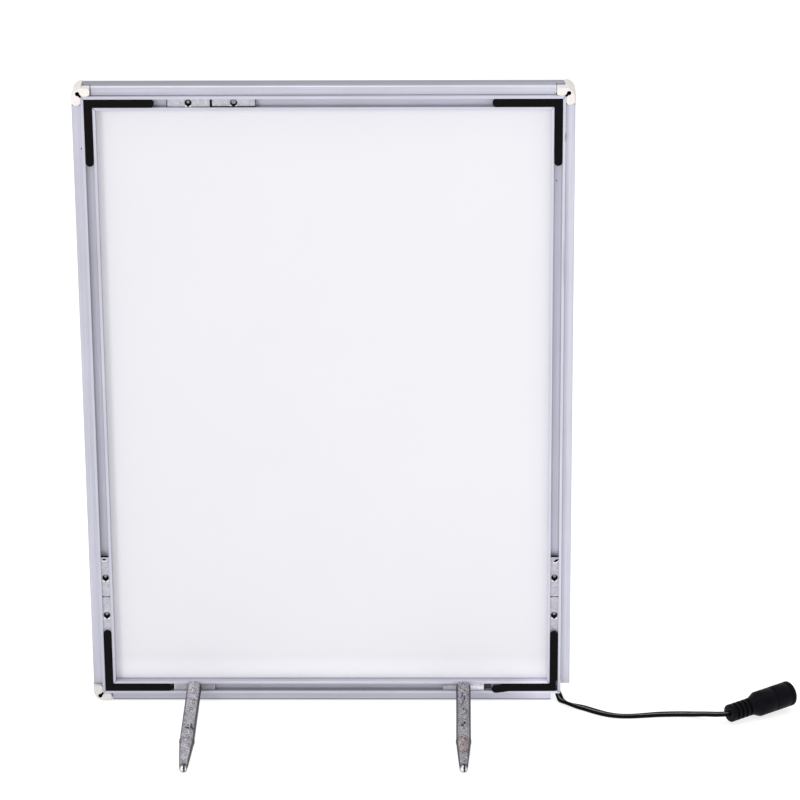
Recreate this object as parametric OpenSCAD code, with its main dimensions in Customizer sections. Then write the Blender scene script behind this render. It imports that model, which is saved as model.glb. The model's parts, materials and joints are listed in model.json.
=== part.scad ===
// Slim LED snap-frame light box that stands on two screw-in rod legs.
// Local frame of the box: x to the right seen from behind, y from the rear lips towards the lit face, z up the box.
// Left and right are as seen from behind. The whole box leans back on its legs.

/* [Frame] */
// Outer width across the snap rails
frame_w = 248; // [220:1:300]
// Outer height across the snap rails
frame_h = 335; // [300:1:420]
// Thickness of the lamp wall that carries the light strips
lamp_wall_t = 1.2; // [0.8:0.1:1.6]
// Distance from the rib's outer side to the lamp wall
lamp_wall_setback = 1.6; // [1.4:0.1:2.2]

/* [Rear channel] */
// Distance from the frame's outer edge to the rear rib
rib_setback = 4.7; // [4.4:0.1:5.4]
// Width of the outer lip beside the channel
lip_outer = 1.45; // [1.3:0.05:2]
// Width of the inner lip beside the channel
lip_inner = 1.4; // [1.2:0.05:2]
// Thickness of the channel lips
lip_t = 1; // [0.6:0.1:1.4]
// Width of the channel's mouth
channel_w = 4.2; // [4:0.1:5]
// Thickness of the channel's floor
channel_floor_t = 1.3; // [0.9:0.1:1.8]

/* [Snap rail] */
// Width of a rail's front face
rail_w = 25; // [20:0.5:32]
// Thickness of a rail's front face
rail_face_t = 1.5; // [0.8:0.1:2]
// Thickness of a rail's outer wall
rail_wall_t = 1.2; // [0.8:0.1:1.4]
// Thickness of a rail's rear flange
rail_flange_t = 0.8; // [0.6:0.05:0.85]
// Step from the rear lips in to the rail's rear flange
flange_step = 2.2; // [1.6:0.1:2.6]
// Radius of a rail's front outer edge
rail_front_r = 1.5; // [0.8:0.1:2]
// Radius of a rail's rear outer edge
rail_rear_r = 0.5; // [0.3:0.1:0.7]
// Length of the tongues by which the top rail runs on over its caps
tongue_l = 4.4; // [2:0.1:4.8]
// Width of the press lip along a rail's inner edge
press_lip_w = 1.6; // [1:0.1:3]
// Height of the press lip
press_lip_h = 0.2; // [0.1:0.05:0.5]

/* [Rail hinge] */
// Radius of the hinge bead on the base profile
bead_r = 1; // [0.9:0.05:1.1]
// Running gap between the bead and the rail's socket
bead_fit = 0.05; // [0.03:0.01:0.08]
// Wall of the socket round the bead
hinge_wall_t = 0.65; // [0.5:0.05:0.7]
// Thickness of the neck that carries the bead
neck_t = 0.7; // [0.5:0.05:0.75]
// Thickness of the arm that carries the neck
arm_t = 0.8; // [0.6:0.1:1]
// Width of one snap spring along its rail
spring_w = 12; // [8:1:18]
// Thickness of the spring leaf
spring_t = 0.4; // [0.3:0.05:0.5]
// Distance between the springs on one rail
spring_pitch = 84; // [60:2:90]

/* [Corner caps] */
// Length of a cap along each edge
cap_l = 9.2; // [8.6:0.1:11]
// Step from the rear lips in to a cap's raised rear
cap_step = 0.1; // [0:0.05:0.4]
// How far a cap's raised rear stays in from the frame's outer edge
cap_inset = 0.5; // [0.4:0.05:0.8]
// Radius at the ends of a cap's raised rear
cap_end_r = 1.6; // [0.8:0.1:1.8]
// Radius of a cap's outer corner
cap_r = 5.5; // [3:0.1:7]
// How far a cap stands proud of the rails
cap_proud = 0.2; // [0.1:0.05:0.4]
// Gap between a cap and the rail ends
cap_gap = 0.5; // [0.3:0.1:0.8]
// Diameter of the hole in a cap
cap_hole_d = 2.2; // [1.4:0.1:2.4]
// Width of the slot that runs from the hole to the rear rib
cap_slot_w = 1.3; // [0.8:0.1:1.6]
// Depth of the slot in a cap
cap_slot_depth = 5; // [3:0.5:6]

/* [Corner keys] */
// Length of a key's arm from its outer corner
key_arm = 34.5; // [28:0.5:40]
// How far a key stands proud of the lips
key_proud = 0.2; // [0.1:0.05:0.5]
// Length by which a key's foot ends short of its arm
key_foot_back = 2.4; // [2:0.1:4]

/* [Nut plates] */
// Length of a nut plate
plate_l = 21.2; // [16:0.2:24]
// Thickness of a nut plate
plate_t = 1.7; // [1.4:0.1:2.2]
// Radius of the tapped hole
tap_r = 1.65; // [1.4:0.05:1.7]
// Depth and width of the chamfer round the tapped hole
tap_chamfer = 0.4; // [0.2:0.05:0.5]
// Distance from the frame's left edge to the first spare plate on the top edge
top_plate_in = 47; // [42:0.5:60]
// Gap between the two spare plates on the top edge
top_plate_gap = 1.2; // [0.8:0.1:3]

/* [Legs] */
// Distance from the frame's left edge to the left leg
leg_left_in = 52.6; // [52:0.2:70]
// Distance from the frame's right edge to the right leg
leg_right_in = 55.2; // [52:0.2:70]
// Length of a leg from the lips to the centre of its ball
leg_l = 91.5; // [80:0.5:110]
// Diameter of a leg
leg_d = 7.5; // [6.4:0.1:8]
// Chamfer at a leg's root
leg_chamfer = 0.6; // [0.3:0.1:1]
// Distance from a leg's root to its ring
leg_ring_at = 61; // [50:1:68]
// Width of the ring
leg_ring_w = 3; // [2:0.5:4]
// How far the ring stands proud
leg_ring_h = 0.2; // [0.1:0.05:0.5]
// Diameter of a leg halfway along its taper
leg_taper_d = 6; // [5.2:0.1:6]
// Diameter of a leg where its taper meets the ball
leg_tip_d = 4.4; // [4.2:0.1:4.4]
// Diameter of the ball at a leg's tip
ball_d = 4.2; // [3.8:0.1:4.2]
// Radius of a leg's threaded stud
stud_r = 1.6; // [1.3:0.05:1.6]
// Length of stud held inside the leg
stud_hold = 8; // [6:0.5:12]

/* [Light engine] */
// Thickness of the white back panel
back_panel_t = 1.5; // [1:0.1:2.5]
// Thickness of the reflector sheet
reflector_t = 0.2; // [0.1:0.05:0.4]
// Thickness of the acrylic light guide
guide_t = 2; // [2:0.5:4]
// Thickness of the diffuser sheet
diffuser_t = 1.2; // [0.3:0.1:1.5]
// Thickness of the clear cover sheet
cover_t = 1.5; // [0.5:0.1:2]
// Room for a poster between the diffuser and the cover sheet
poster_room = 0.15; // [0.1:0.05:0.4]
// Gap from a sheet's edge to the lamp wall
sheet_fit = 0.2; // [0.1:0.05:0.4]
// Thickness of a light strip's board
board_t = 0.8; // [0.6:0.1:1]
// Width of a light strip's board
board_w = 2.4; // [2:0.1:2.4]
// Distance from a board's end to the frame's outer edge
board_end = 18; // [16:1:30]
// Length of one light chip
chip_l = 4; // [3:0.2:5]
// Width of one light chip
chip_w = 1.4; // [1:0.1:1.8]
// Height of one light chip
chip_h = 1.1; // [0.7:0.1:1.2]
// Distance between light chips
chip_pitch = 10; // [8:0.5:20]
// Gap between the chips and the light guide
chip_gap = 0.4; // [0.2:0.1:0.6]
// Radius of an inner wire
wire_r = 0.42; // [0.3:0.02:0.45]

/* [Cord and socket] */
// Width of the flat twin cord
cord_w = 3.5; // [3:0.1:4]
// Thickness of the flat twin cord
cord_t = 1.75; // [1.5:0.05:2]
// Width of the notch that lets the cord out
notch_w = 4.4; // [4.1:0.1:5]
// Height of the notch
notch_t = 2.8; // [2.3:0.1:3]
// Diameter of the socket's housing
housing_d = 13; // [11:0.1:14]
// Length of the housing with its strain relief
housing_l = 39.5; // [36:0.1:44]
// Diameter of the strain relief
relief_d = 9.2; // [7:0.1:10]
// Length of the strain relief
relief_l = 14.2; // [13.6:0.2:16]
// Length of the cone between strain relief and housing
shoulder_l = 3.9; // [1.5:0.1:5]
// Distance between the strain relief's grooves
rib_pitch = 2.75; // [2:0.05:3.2]
// Distance from the last groove to the cone
groove_back = 2.2; // [1:0.1:2.6]
// Width of a groove
groove_w = 1.1; // [0.6:0.1:1.4]
// Depth of a groove
groove_depth = 1; // [0.5:0.1:1.4]
// Diameter of the socket's insert
insert_d = 9.6; // [8.6:0.1:10.4]
// Length of the insert
insert_l = 12; // [11:0.5:16]
// Diameter of the bore that takes the plug
socket_bore_d = 5.6; // [5.4:0.1:6]
// Depth of the bore
socket_bore_l = 9.5; // [8:0.5:10]
// Wall of the contact sleeve
sleeve_t = 0.2; // [0.15:0.05:0.4]
// Diameter of the centre pin
pin_d = 2.1; // [1.9:0.1:2.5]

/* [Hidden] */
$fn = 48;

// Small gaps
slip = 0.1;       // loose sheet-metal fit
hair = 0.05;      // pieces that lie on each other
cut = 1;          // how far a cutting shape runs past what it cuts
mitre_gap = 0.15; // opening on each side of a mitred joint

// Channel, measured inward from the frame's outer edge and forward from the lips
rail_rib_gap = 0.15;                                 // gap between a closed rail's flange and the rib
swing_gap = 0.2;                                     // gap between an open rail's flange and the rib
hinge_or = bead_r + bead_fit + hinge_wall_t;         // outer radius of the rail's hinge socket
hinge_s = rib_setback - swing_gap - hinge_or;
hinge_y = flange_step + hinge_or;
flange_end = rib_setback - rail_rib_gap;
flange_sweep_r = norm([flange_end - hinge_s, hinge_or]);
relief_r = flange_sweep_r + 0.12;                    // hollow in the rib that the flange swings through
channel_wall_t = 0.4;                                // metal left between that hollow and the channel
channel_s0 = rib_setback + lip_outer;
channel_s1 = channel_s0 + channel_w;
channel_mid = (channel_s0 + channel_s1) / 2;
undercut = max(hair, channel_s0 - (hinge_s + relief_r + channel_wall_t));
plate_play = 0.6;                                    // depth left free over a nut plate
channel_depth = lip_t + plate_t + plate_play;
rib_w = lip_outer + channel_w + lip_inner;
rib_h = channel_depth + channel_floor_t;

// Layers behind the lit face, forward from the lips
back_y = rib_h;
reflector_y = back_y + back_panel_t + hair;
guide_y = reflector_y + reflector_t + hair;
guide_mid = guide_y + guide_t / 2;
diffuser_y = guide_y + guide_t + hair;
cover_y = diffuser_y + diffuser_t + poster_room;
press_gap = 0.1;                                     // play between the press lip and the cover sheet
face_y = cover_y + cover_t + press_gap + press_lip_h;
front_y = face_y + rail_face_t;
lamp_s0 = rib_setback + lamp_wall_setback;
lamp_s1 = lamp_s0 + lamp_wall_t;
lamp_wall_drop = 0.3;                                // lamp wall ends this far behind the cover sheet's face
lamp_front = cover_y + cover_t - lamp_wall_drop;
sheet_s = lamp_s1 + sheet_fit;
guide_s = lamp_s1 + board_t + chip_h + chip_gap;

// Hinge arm inside the rail, swung clear of the rail's socket
swing = 90;                                          // how far a rail opens
neck_angle = 80;                                     // neck's direction at rest, from inward towards the front
neck_half = asin((neck_t / 2) / (bead_r + bead_fit));
neck_margin = 4;
arm_reach = 2.2;                                     // from the hinge axis forward to the arm
arm_y = hinge_y + arm_reach;
arm_s = hinge_s + arm_reach / tan(neck_angle) - neck_t / 2;

// Tongues of the top rail and the shelf of the cap that they pass over
tongue_y = hinge_y + hinge_s - cap_inset + swing_gap;
tongue_gap = 0.3;                                    // gap between a tongue and its cap
rail_end = cap_l + cap_gap;
tongue_end = rail_end - tongue_l;
shelf_y = hinge_y + hinge_s - rail_wall_t - tongue_gap;

// Legs and stance
ball_r = ball_d / 2;
ball_show = 1.6;                                     // ball's centre to the end of the leg
plate_y = lip_t + slip;
plate_w = channel_w + 2 * undercut - 2 * 0.15;
stand_dv = channel_mid + cap_proud;
stand_dy = leg_l + flange_step;
lean = atan2(stand_dv, stand_dy) - asin(ball_r / norm([stand_dv, stand_dy]));
lift = cap_proud * cos(lean) - flange_step * sin(lean);
rear_reach = leg_l * cos(lean) + channel_mid * sin(lean) + ball_r;
front_reach = front_y * cos(lean) + cap_proud * sin(lean);
shift = (rear_reach - front_reach) / 2;

// Key feet and the plates that rest on them
key_w = channel_w - 2 * slip;
key_corner = channel_s0 + slip;
key_foot_w = channel_w + 2 * undercut - 2 * slip;
key_foot_corner = channel_s0 - undercut + slip;
key_foot_end = key_corner + key_arm - key_foot_back;
side_plate_v = key_foot_end + slip + plate_l / 2;

// Cord route on the table, in the stand's own frame: x, y, z and the turn of the flat cord
cord_route = [
    [115.9, 47.5, 8.45, 90], [116.4, 47.4, 7.1, 92], [117.2, 46.75, 5.15, 104], [118, 45.55, 3.5, 122],
    [118.7, 43.8, 2.25, 138], [119.2, 41.75, 1.5, 152], [119.7, 39.8, 1.25, 168], [120.6, 37.9, 1.25, 186],
    [122.2, 35.8, 1.3, 203], [125, 33.2, 1.3, 196], [128.4, 30.9, 1.2, 172], [132, 28.6, 1.15, 163],
    [136.6, 24.8, 1.15, 163], [142.8, 20.7, 1.1, 170], [149, 18.8, 1, 176], [155.4, 18.6, 1, 177],
    [162, 19.4, 1.05, 172], [168.8, 20.4, 1.15, 166], [176, 20.8, 1.2, 162], [182.4, 20.8, 1.25, 162],
    [187.4, 19.7, 1.65, 162], [192.1, 16.8, 2.9, 163], [195.6, 13.9, 4.05, 164], [198.6, 11.9, 4.8, 166],
    [201.8, 10.6, 5.42, 169], [205, 10.3, 5.72, 172]
];
cord_sides = 8;
cord_steps = 2;                                      // rings between two points of the route
socket_yaw = 33;
socket_tilt = 4;
socket_rest = 0.5;                                   // gap between the socket and the table
socket_z = housing_d / 2 * cos(socket_tilt) - (relief_l + shoulder_l) * sin(socket_tilt) + socket_rest;
socket_at = [205.1, 10.5, socket_z];
socket_way = [cos(socket_tilt) * cos(socket_yaw), cos(socket_tilt) * sin(socket_yaw), sin(socket_tilt)];

// The place of the leaning box on its table
module stand() {
    translate([0, shift, lift])
        rotate([lean, 0, 0])
            children();
}

// A bar along x whose section is drawn inward (first) and forward (second)
module bar(length) {
    rotate([0, -90, 0])
        translate([0, 0, -length / 2])
            linear_extrude(length)
                children();
}

// A plate whose outline is drawn across (first) and up (second), from one depth to another
module plate_between(y0, y1) {
    translate([0, y1, 0])
        rotate([90, 0, 0])
            linear_extrude(y1 - y0)
                children();
}

// Each edge of the frame: the bar lies along the edge, its inward side towards the middle
module edge(name) {
    if (name == "bottom")
        children();
    if (name == "top")
        translate([0, 0, frame_h])
            rotate([0, 180, 0])
                children();
    if (name == "left")
        translate([-frame_w / 2, 0, frame_h / 2])
            rotate([0, 90, 0])
                children();
    if (name == "right")
        translate([frame_w / 2, 0, frame_h / 2])
            rotate([0, -90, 0])
                children();
}

function edge_length(name) = name == "top" || name == "bottom" ? frame_w : frame_h;

// Each corner of the frame, with x and z running inward from it
module corner(side, level) {
    translate([side == "left" ? -frame_w / 2 : frame_w / 2, 0, level == "top" ? frame_h : 0])
        mirror([side == "left" ? 0 : 1, 0, 0])
            mirror([0, 0, level == "top" ? 1 : 0])
                children();
}

// Outline of an edge with mitred ends
module mitre_outline(length, depth) {
    end = length / 2 - mitre_gap;
    polygon([
        [-end, 0], [end, 0],
        [end - depth, depth], [-end + depth, depth]
    ]);
}

// Rear rib with its channel, and the lamp wall in front of it
module base_section() {
    difference() {
        union() {
            translate([rib_setback, 0])
                square([rib_w, rib_h]);
            translate([lamp_s0, channel_depth])
                square([lamp_wall_t, lamp_front - channel_depth]);
        }
        translate([channel_s0, -cut])
            square([channel_w, cut + lip_t + hair]);
        translate([channel_s0 - undercut, lip_t])
            square([channel_w + 2 * undercut, channel_depth - lip_t]);
        translate([hinge_s, hinge_y])
            circle(r = relief_r);
    }
}

// Bead, neck and arm that a rail turns on
module hinge_section() {
    translate([hinge_s, hinge_y]) {
        circle(r = bead_r);
        rotate(neck_angle - 90)
            translate([-neck_t / 2, 0])
                square([neck_t, arm_reach / sin(neck_angle) + arm_t / 2]);
    }
    translate([arm_s, arm_y])
        square([lamp_s0 - arm_s + lamp_wall_t / 2, arm_t]);
}

module base_profile(name) {
    length = edge_length(name);
    edge(name) {
        intersection() {
            bar(length)
                base_section();
            plate_between(-cut, front_y)
                mitre_outline(length, rib_setback + rib_w + cut);
        }
        bar(length - 2 * rail_end)
            hinge_section();
    }
}

// Opening in the lower right corner of the lamp wall that lets the cord out
module cord_notch() {
    notch_reach = lamp_s1 + cord_w;
    corner("right", "bottom")
        translate([lamp_s0 - cut, guide_mid, lamp_s0 - cut])
            rotate([0, -45, 0])
                translate([0, -notch_t / 2, -notch_w / 2])
                    cube([notch_reach, notch_t, notch_w]);
}

// Socket of the rail's hinge, open where the neck swings
module rail_socket_section() {
    wedge_r = hinge_or * 2;
    wedge_from = neck_angle - swing - neck_half - neck_margin;
    wedge_to = neck_angle + neck_half + neck_margin;
    translate([hinge_s, hinge_y])
        difference() {
            circle(r = hinge_or);
            polygon(concat(
                [[0, 0]],
                [for (i = [0:4]) let (a = wedge_from + (wedge_to - wedge_from) * i / 4) wedge_r * [cos(a), sin(a)]]
            ));
        }
}

// Outer shape of a rail with its two rounded outer edges
module rail_outline() {
    translate([rail_front_r, front_y - rail_front_r])
        circle(r = rail_front_r);
    translate([rail_rear_r, flange_step + rail_rear_r])
        circle(r = rail_rear_r);
    translate([0, flange_step + rail_rear_r])
        square([rail_wall_t, front_y - flange_step - rail_rear_r - rail_front_r]);
    translate([rail_rear_r, flange_step])
        square([flange_end - rail_rear_r, rail_flange_t]);
    translate([rail_front_r, face_y])
        square([rail_w - rail_front_r, rail_face_t]);
    translate([rail_w - press_lip_w, face_y - press_lip_h])
        square([press_lip_w, press_lip_h + hair]);
}

module rail_section() {
    difference() {
        union() {
            difference() {
                rail_outline();
                translate([rail_wall_t, flange_step + rail_flange_t])
                    square([rail_w - rail_wall_t - press_lip_w, face_y - flange_step - rail_flange_t]);
            }
            rail_socket_section();
        }
        translate([hinge_s, hinge_y])
            circle(r = bead_r + bead_fit);
    }
}

// Front part of a rail's outer wall
module tongue_section() {
    intersection() {
        rail_outline();
        translate([0, tongue_y])
            square([rail_wall_t, front_y - tongue_y]);
    }
}

module snap_rail(name) {
    length = edge_length(name);
    end = length / 2 - rail_end;
    slope_end = length / 2 - rail_w - cut;
    color("silver")
        edge(name) {
            intersection() {
                bar(length)
                    rail_section();
                plate_between(0, front_y + cut)
                    polygon([
                        [-end, -cut], [end, -cut],
                        [end, rail_end - mitre_gap],
                        [slope_end, rail_w + cut - mitre_gap],
                        [-slope_end, rail_w + cut - mitre_gap],
                        [-end, rail_end - mitre_gap]
                    ]);
            }
            if (name == "top")
                bar(length - 2 * tongue_end)
                    tongue_section();
        }
}

// A straight stretch of spring leaf with round ends
module leaf(from, to) {
    way = to - from;
    translate(from) {
        circle(d = spring_t);
        rotate(atan2(way[1], way[0]))
            translate([0, -spring_t / 2])
                square([norm(way), spring_t]);
    }
    translate(to)
        circle(d = spring_t);
}

// Bent leaf between the hinge arm and the rail's outer front corner
module spring_section() {
    rest_y = arm_y + arm_t + spring_t / 2 + hair;
    tip_y = face_y - spring_t / 2 - hair;
    tip_s = rail_front_r + spring_t;
    knee_s = arm_s + neck_t;
    leaf([lamp_s0 - spring_t, rest_y], [knee_s, rest_y]);
    leaf([knee_s, rest_y], [tip_s, tip_y]);
}

module rail_springs(name) {
    count = floor((edge_length(name) - 2 * rail_w) / spring_pitch);
    color("gray")
        edge(name)
            for (i = [0:count - 1])
                translate([(i - (count - 1) / 2) * spring_pitch, 0, 0])
                    bar(spring_w)
                        spring_section();
}

// Square with one corner rounded, drawn inward from the frame's corner between two distances
module corner_outline(from, to, radius) {
    translate([from, from])
        intersection() {
            square(to - from);
            union() {
                translate([radius, radius])
                    circle(r = radius);
                translate([radius, 0])
                    square(to);
                translate([0, radius])
                    square(to);
            }
        }
}

// Two arms with rounded ends that meet in a rounded corner
module cap_rear_outline(grip) {
    corner_outline(cap_inset, grip, cap_r - cap_proud - cap_inset);
    for (turn = [0, 1])
        mirror([turn, -turn]) {
            translate([grip - hair, cap_inset])
                square([cap_l - cap_end_r - grip + hair, grip - cap_inset]);
            translate([grip - hair, cap_inset + cap_end_r])
                square([cap_l - grip + hair, grip - cap_inset - 2 * cap_end_r]);
            for (across = [cap_inset + cap_end_r, grip - cap_end_r])
                translate([cap_l - cap_end_r, across])
                    circle(r = cap_end_r);
        }
}

// Room for a tongue of the top rail, and for its swing
module tongue_room() {
    plate_between(0, front_y + cut)
        translate([tongue_end - tongue_gap, -cut])
            square([cap_l, cut + cap_inset]);
    plate_between(shelf_y, front_y + cut)
        translate([tongue_end - tongue_gap, -cut])
            square([cap_l, cut + rail_wall_t + tongue_gap]);
}

module corner_cap(side, level) {
    grip = rib_setback - slip;
    hole_at = grip - cap_hole_d * 0.6;
    color("ivory")
        corner(side, level)
            difference() {
                union() {
                    plate_between(flange_step, front_y)
                        corner_outline(-cap_proud, cap_l, cap_r);
                    plate_between(cap_step, shelf_y)
                        cap_rear_outline(grip);
                }
                plate_between(cap_step - cut, face_y)
                    translate([grip, grip])
                        square(cap_l);
                plate_between(cap_step - cut, flange_step + cap_slot_depth)
                    translate([hole_at, hole_at]) {
                        circle(d = cap_hole_d);
                        rotate(45)
                            translate([0, -cap_slot_w / 2])
                                square([cap_l, cap_slot_w]);
                    }
                if (level == "top")
                    tongue_room();
            }
}

// L outline of one layer of a key, with full round ends
module key_outline(from, width, arm) {
    for (turn = [0, 1])
        mirror([turn, -turn])
            translate([from, from]) {
                square([arm - width / 2, width]);
                translate([arm - width / 2, width / 2])
                    circle(d = width);
            }
}

module corner_key(side, level) {
    color("black")
        corner(side, level) {
            plate_between(0, channel_depth - 2 * slip)
                key_outline(key_corner + slip, key_w - 2 * slip, key_arm - key_foot_back - key_w / 2);
            plate_between(-key_proud, lip_t)
                key_outline(key_corner, key_w, key_arm);
            plate_between(lip_t + slip, channel_depth - slip)
                key_outline(key_foot_corner, key_foot_w, key_foot_end - key_foot_corner);
        }
}

// A nut plate in the channel, centred on its tapped hole
module nut_plate() {
    color("gainsboro")
        difference() {
            translate([-plate_l / 2, plate_y, -plate_w / 2])
                cube([plate_l, plate_t, plate_w]);
            translate([0, plate_y + plate_t + cut, 0])
                rotate([90, 0, 0])
                    cylinder(r = tap_r, h = plate_t + 2 * cut);
            translate([0, plate_y + tap_chamfer, 0])
                rotate([90, 0, 0])
                    cylinder(r1 = tap_r, r2 = tap_r + 2 * tap_chamfer, h = 2 * tap_chamfer);
        }
}

module top_nut(x) {
    translate([x, 0, frame_h - channel_mid])
        nut_plate();
}

module side_nut(side, step) {
    translate([(side == "left" ? -1 : 1) * (frame_w / 2 - channel_mid), 0, side_plate_v + step * (plate_l + slip)])
        rotate([0, 90, 0])
            nut_plate();
}

module leg_place(side) {
    translate([side == "left" ? leg_left_in - frame_w / 2 : frame_w / 2 - leg_right_in, 0, channel_mid])
        children();
}

// Turned and worn rod, drawn along its own axis from the lips outward
module leg(side) {
    root = hair;
    leg_end = leg_l - ball_show;
    ring_end = leg_ring_at + leg_ring_w;
    color("darkgray")
        leg_place(side)
            rotate([90, 0, 0])
                difference() {
                    rotate_extrude()
                        polygon([
                            [0, root], [leg_d / 2 - leg_chamfer, root], [leg_d / 2, root + leg_chamfer],
                            [leg_d / 2, leg_ring_at], [leg_d / 2 + leg_ring_h, leg_ring_at + leg_ring_w / 3],
                            [leg_d / 2 + leg_ring_h, leg_ring_at + leg_ring_w * 2 / 3],
                            [leg_d / 2, ring_end], [leg_taper_d / 2, (ring_end + leg_end) / 2],
                            [leg_tip_d / 2, leg_end], [0, leg_end]
                        ]);
                    translate([0, 0, root - cut])
                        cylinder(r = stud_r + hair, h = stud_hold + slip + cut);
                    translate([0, 0, leg_l])
                        sphere(r = ball_r + hair);
                }
}

module leg_stud(side) {
    color("dimgray")
        leg_place(side)
            translate([0, plate_y + plate_t, 0])
                rotate([90, 0, 0])
                    cylinder(r = stud_r, h = plate_y + plate_t + stud_hold);
}

module leg_ball(side) {
    color("white")
        leg_place(side)
            translate([0, -leg_l, 0])
                sphere(r = ball_r);
}

// A sheet that ends a given distance inside the frame's outer edge
module sheet(edge_s, y, thickness) {
    translate([-frame_w / 2 + edge_s, y, edge_s])
        cube([frame_w - 2 * edge_s, thickness, frame_h - 2 * edge_s]);
}

board_l = frame_h - 2 * board_end;

module led_board(name) {
    color("white")
        edge(name)
            translate([-board_l / 2, guide_mid - board_w / 2, lamp_s1])
                cube([board_l, board_w, board_t]);
}

module led_chips(name) {
    count = floor((board_l - chip_l) / chip_pitch) + 1;
    color("khaki")
        edge(name)
            for (i = [0:count - 1])
                translate([
                    (i - (count - 1) / 2) * chip_pitch - chip_l / 2, guide_mid - chip_w / 2, lamp_s1 + board_t
                ])
                    cube([chip_l, chip_w, chip_h]);
}

// Two wires side by side in the gap between the lamp wall and the light guide
wire_step = (guide_s - lamp_s1) / 2;
wire_s = [lamp_s1 + wire_step / 2, lamp_s1 + wire_step * 3 / 2];

module wire_up(side, s, from, to) {
    translate([(side == "left" ? -1 : 1) * (frame_w / 2 - s), guide_mid, from])
        cylinder(r = wire_r, h = to - from);
}

// From the cord's end to the right board
module lead_wires() {
    start = guide_s + 2 * wire_r;
    color("firebrick")
        for (s = wire_s)
            wire_up("right", s, start, board_end - hair);
}

// Along the bottom gap to the left board
module link_wires() {
    start = frame_w / 2 - guide_s - 2 * wire_r;
    color("firebrick")
        for (s = wire_s) {
            translate([-frame_w / 2 + s, guide_mid, s])
                rotate([0, 90, 0])
                    cylinder(r = wire_r, h = start + frame_w / 2 - s);
            translate([-frame_w / 2 + s, guide_mid, s])
                sphere(r = wire_r);
            wire_up("left", s, s, board_end - hair);
        }
}

// Smooth points through the cord's route
function route_point(i) = cord_route[max(0, min(len(cord_route) - 1, i))];
function smooth(a, b, c, d, t) =
    b + t / 2 * (c - a) + t * t * (a - 2.5 * b + 2 * c - d / 2) + t * t * t * (1.5 * (b - c) + (d - a) / 2);
cord_points = [
    for (i = [0:len(cord_route) - 2], k = [0:cord_steps - 1])
        smooth(route_point(i - 1), route_point(i), route_point(i + 1), route_point(i + 2), k / cord_steps),
    route_point(len(cord_route) - 1)
];
function place(p) = [p[0], p[1], p[2]];
function unit(v) = v / norm(v);
// The last ring lies flat on the socket's face
function cord_way(i) =
    i == len(cord_points) - 1
        ? socket_way
        : unit(place(cord_points[i + 1]) - place(cord_points[max(0, i - 1)]));
function cord_level(i) = unit(cross(cord_way(i), [0, 0, 1]));
function cord_ring(i) =
    let (
        turn = cord_points[i][3],
        level = cord_level(i),
        rise = cross(level, cord_way(i)),
        wide = level * cos(turn) + rise * sin(turn),
        thin = rise * cos(turn) - level * sin(turn)
    )
    [for (k = [0:cord_sides - 1])
        let (a = 360 * (k + 0.5) / cord_sides)
        place(cord_points[i]) + wide * cos(a) * cord_w / 2 + thin * sin(a) * cord_t / 2];

module power_cord() {
    rings = len(cord_points);
    last = (rings - 1) * cord_sides;
    color("#1a1a1c")
        polyhedron(
            points = [for (i = [0:rings - 1]) each cord_ring(i)],
            faces = concat(
                [for (k = [1:cord_sides - 2]) [0, k + 1, k]],
                [for (k = [1:cord_sides - 2]) [last, last + k, last + k + 1]],
                [for (i = [0:rings - 2], k = [0:cord_sides - 1])
                    [i * cord_sides + k, i * cord_sides + (k + 1) % cord_sides, (i + 1) * cord_sides + k]],
                [for (i = [0:rings - 2], k = [0:cord_sides - 1])
                    [
                        i * cord_sides + (k + 1) % cord_sides,
                        (i + 1) * cord_sides + (k + 1) % cord_sides,
                        (i + 1) * cord_sides + k
                    ]]
            )
        );
}

// The socket lies on the table, its axis along z here from the cord's entry to the open end
module socket_place() {
    translate(socket_at)
        rotate([0, 90 - socket_tilt, socket_yaw])
            children();
}

module ring_groove(at, width, outer_r, depth) {
    translate([0, 0, at])
        difference() {
            cylinder(r = outer_r + cut, h = width);
            translate([0, 0, -cut])
                cylinder(r = outer_r - depth, h = width + 2 * cut);
        }
}

module socket_housing() {
    rim = 0.8;
    groove_count = 4;
    ring_back = [12.6, 3.2];
    ring_depth = 0.3;
    color("#151517")
        socket_place()
            difference() {
                rotate_extrude()
                    polygon([
                        [0, 0], [relief_d / 2 - rim / 2, 0], [relief_d / 2, rim / 2], [relief_d / 2, relief_l],
                        [housing_d / 2, relief_l + shoulder_l], [housing_d / 2, housing_l - rim],
                        [housing_d / 2 - rim, housing_l], [0, housing_l]
                    ]);
                for (i = [0:groove_count - 1])
                    ring_groove(
                        relief_l - groove_back - groove_w - i * rib_pitch, groove_w, relief_d / 2, groove_depth
                    );
                for (back = ring_back)
                    ring_groove(housing_l - back, 2 * ring_depth, housing_d / 2, ring_depth);
                translate([0, 0, housing_l - insert_l])
                    cylinder(d = insert_d, h = insert_l + cut);
            }
}

module socket_insert() {
    color("#202022")
        socket_place()
            translate([0, 0, housing_l - insert_l])
                difference() {
                    cylinder(d = insert_d - 2 * hair, h = insert_l - 2 * hair);
                    translate([0, 0, insert_l - socket_bore_l])
                        cylinder(d = socket_bore_d + 2 * sleeve_t + 2 * hair, h = socket_bore_l + cut);
                }
}

module socket_sleeve() {
    set_back = 1;
    color("silver")
        socket_place()
            translate([0, 0, housing_l - socket_bore_l])
                difference() {
                    cylinder(d = socket_bore_d + 2 * sleeve_t, h = socket_bore_l - set_back);
                    translate([0, 0, -cut])
                        cylinder(d = socket_bore_d, h = socket_bore_l + cut);
                }
}

module socket_pin() {
    set_back = 0.6;
    pin_l = socket_bore_l - set_back - pin_d / 2;
    color("gold")
        socket_place()
            translate([0, 0, housing_l - socket_bore_l]) {
                cylinder(d = pin_d, h = pin_l);
                translate([0, 0, pin_l])
                    sphere(d = pin_d);
            }
}

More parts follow.
